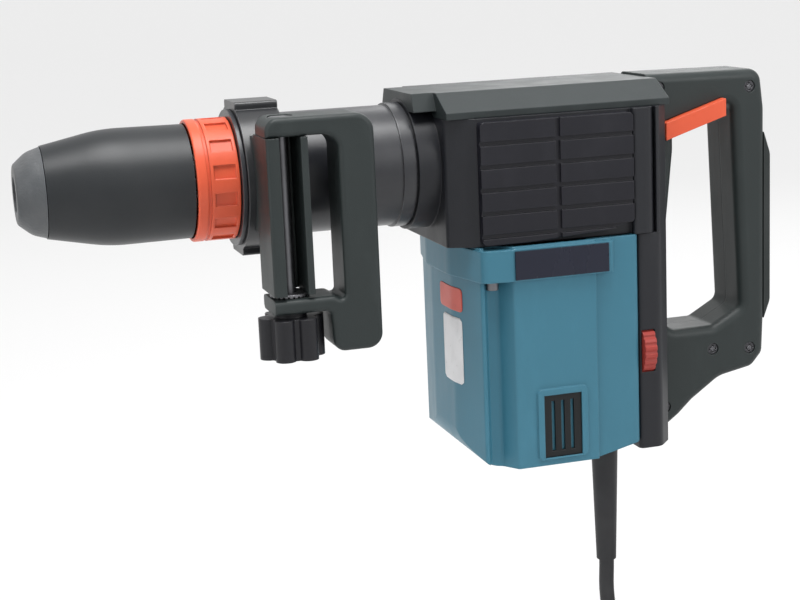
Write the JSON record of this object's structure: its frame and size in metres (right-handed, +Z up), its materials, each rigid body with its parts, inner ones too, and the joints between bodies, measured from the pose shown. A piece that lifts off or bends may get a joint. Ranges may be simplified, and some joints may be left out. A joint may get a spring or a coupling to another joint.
{
  "type": "electric demolition hammer",
  "caption": "Electric demolition hammer with a sleeve chuck, swinging side grip, upright blue motor housing, D-shaped rear handle and coiled mains cord.",
  "frame": {"origin": "in the rear grip, where the palm holds the hammer up", "axes": "-X towards the chisel along the hammer axis, +Z up, -Y towards the side grip"},
  "size_m": [0.5967, 0.1857, 0.4315],
  "materials": {
    "tool_steel": "machined and oiled",
    "spring_steel": "drawn wire",
    "screw_steel": "blackened",
    "band_steel": "black coated steel",
    "nose_rubber": "matt, scuffed",
    "sleeve_plastic": "satin black",
    "red_plastic": "orange-red moulding",
    "barrel_black": "satin black lacquer",
    "housing_black": "cast aluminium, painted",
    "cover_plastic": "fine grain",
    "side_cover_plastic": "satin, ribbed",
    "rear_cover_plastic": "fine grain",
    "handle_plastic": "fine grain",
    "grip_plastic": "fine grain",
    "grip_rubber": "moulded, matt",
    "knob_plastic": "fine grain",
    "dial_red": "darker red moulding",
    "blue_plastic": "teal blue, satin",
    "badge_navy": "plain plate",
    "vent_black": "black",
    "inner_plastic": "black moulding",
    "seal_rubber": "smooth",
    "cast_alloy": "die cast",
    "bronze": "sintered",
    "brass": "pressed",
    "copper": "turned copper",
    "carbon": "pressed carbon",
    "cord_rubber": "black rubber sheath",
    "tie_rubber": "flat strap",
    "plug_rubber": "moulded",
    "plated_pins": "nickel plated"
  },
  "bodies": {
    "housing": {"barrel": "barrel_black", "barrel_bushings": "bronze", "cylinder_liner": "tool_steel", "crank_housing": "housing_black", "top_cover": "cover_plastic", "side_cover_left": "side_cover_plastic", "side_cover_right": "side_cover_plastic", "gear_plate": "cast_alloy", "crank_bearings": "tool_steel", "motor_housing": "blue_plastic", "badge_plates": "badge_navy", "vent_inserts": "vent_black", "housing_screws": "screw_steel", "motor_bearings": "tool_steel", "stator": "tool_steel", "brush_holders": "brass", "carbon_brushes": "carbon", "rear_cover": "rear_cover_plastic", "speed_controller": "inner_plastic", "handle_left": "handle_plastic", "handle_right": "handle_plastic", "handle_screws": "screw_steel", "grip_pad": "grip_rubber", "switch_body": "inner_plastic", "cord_guard": "cord_rubber", "cord_clamp": "inner_plastic", "cord_run": "cord_rubber", "cord_coil": "cord_rubber", "coil_tie": "tie_rubber", "cord_tail": "cord_rubber", "plug_body": "plug_rubber", "plug_pins": "plated_pins"},
    "tool_holder": {"tool_holder": "tool_steel", "locking_rollers": "tool_steel", "nose_cap": "nose_rubber"},
    "release_sleeve": {"release_sleeve": "sleeve_plastic", "roller_ring": "tool_steel", "sleeve_spring": "spring_steel"},
    "change_ring": {"change_ring": "red_plastic"},
    "impact_bolt": {"impact_bolt": "tool_steel"},
    "striker": {"striker": "tool_steel", "striker_seal": "seal_rubber"},
    "piston": {"piston": "cast_alloy", "piston_seal": "seal_rubber", "piston_pin": "tool_steel", "connecting_rod": "cast_alloy"},
    "crankshaft": {"crankshaft": "tool_steel", "crank_gear": "tool_steel"},
    "rotor": {"motor_shaft": "tool_steel", "armature": "tool_steel", "commutator": "copper", "cooling_fan": "inner_plastic"},
    "side_grip_mount": {"side_grip_band": "band_steel", "side_grip_bracket": "grip_plastic", "serrated_washer": "screw_steel"},
    "side_grip_loop": {"side_grip_loop": "grip_plastic", "clamp_bolt": "screw_steel"},
    "clamp_knob": {"clamp_knob": "knob_plastic"},
    "switch_lever": {"switch_lever": "red_plastic"},
    "speed_dial": {"speed_dial": "dial_red"}
  },
  "joints": [
    {"name": "tool_holder_turn", "type": "hinge", "parent": "housing", "child": "tool_holder", "pos_m": [-0.413, 0, 0.052], "axis": [1, 0, 0], "continuous": true},
    {"name": "release_sleeve_slide", "type": "slide", "parent": "tool_holder", "child": "release_sleeve", "axis": [1, 0, 0], "range_m": [0, 0.009], "stiffness_N_per_m": 1500, "springref_m": -0.004, "deforming": ["sleeve_spring"]},
    {"name": "change_ring_slide", "type": "slide", "parent": "tool_holder", "child": "change_ring", "axis": [-1, 0, 0], "range_m": [0, 0.006]},
    {"name": "impact_bolt_slide", "type": "slide", "parent": "tool_holder", "child": "impact_bolt", "axis": [1, 0, 0], "range_m": [0, 0.005]},
    {"name": "striker_slide", "type": "slide", "parent": "housing", "child": "striker", "axis": [1, 0, 0], "range_m": [0, 0.011]},
    {"name": "piston_stroke", "type": "slide", "parent": "housing", "child": "piston", "axis": [1, 0, 0], "range_m": [0, 0.028]},
    {"name": "crank_spin", "type": "hinge", "parent": "housing", "child": "crankshaft", "pos_m": [-0.135, 0, 0.032], "axis": [0, 0, 1], "continuous": true},
    {"name": "rotor_spin", "type": "hinge", "parent": "housing", "child": "rotor", "pos_m": [-0.175, 0, -0.048], "axis": [0, 0, 1], "continuous": true},
    {"name": "side_grip_orbit", "type": "hinge", "parent": "housing", "child": "side_grip_mount", "pos_m": [-0.333, 0, 0.052], "axis": [1, 0, 0], "continuous": true},
    {"name": "side_grip_swing", "type": "hinge", "parent": "side_grip_mount", "child": "side_grip_loop", "pos_m": [-0.329, -0.062, 0.036], "axis": [0, 0, -1], "range_deg": [0, 180]},
    {"name": "clamp_knob_turn", "type": "hinge", "parent": "side_grip_loop", "child": "clamp_knob", "pos_m": [-0.329, -0.062, -0.036], "axis": [0, 0, -1], "range_deg": [0, 540]},
    {"name": "switch_lever_slide", "type": "slide", "parent": "housing", "child": "switch_lever", "axis": [0, 1, 0], "range_m": [0, 0.006]},
    {"name": "speed_dial_turn", "type": "hinge", "parent": "housing", "child": "speed_dial", "pos_m": [-0.0985, -0.0434, -0.07075], "axis": [1, 0, 0], "range_deg": [0, 270]}
  ],
  "couplings": [
    {"joint": "rotor_spin", "follows": "crank_spin", "ratio": -7}
  ]
}
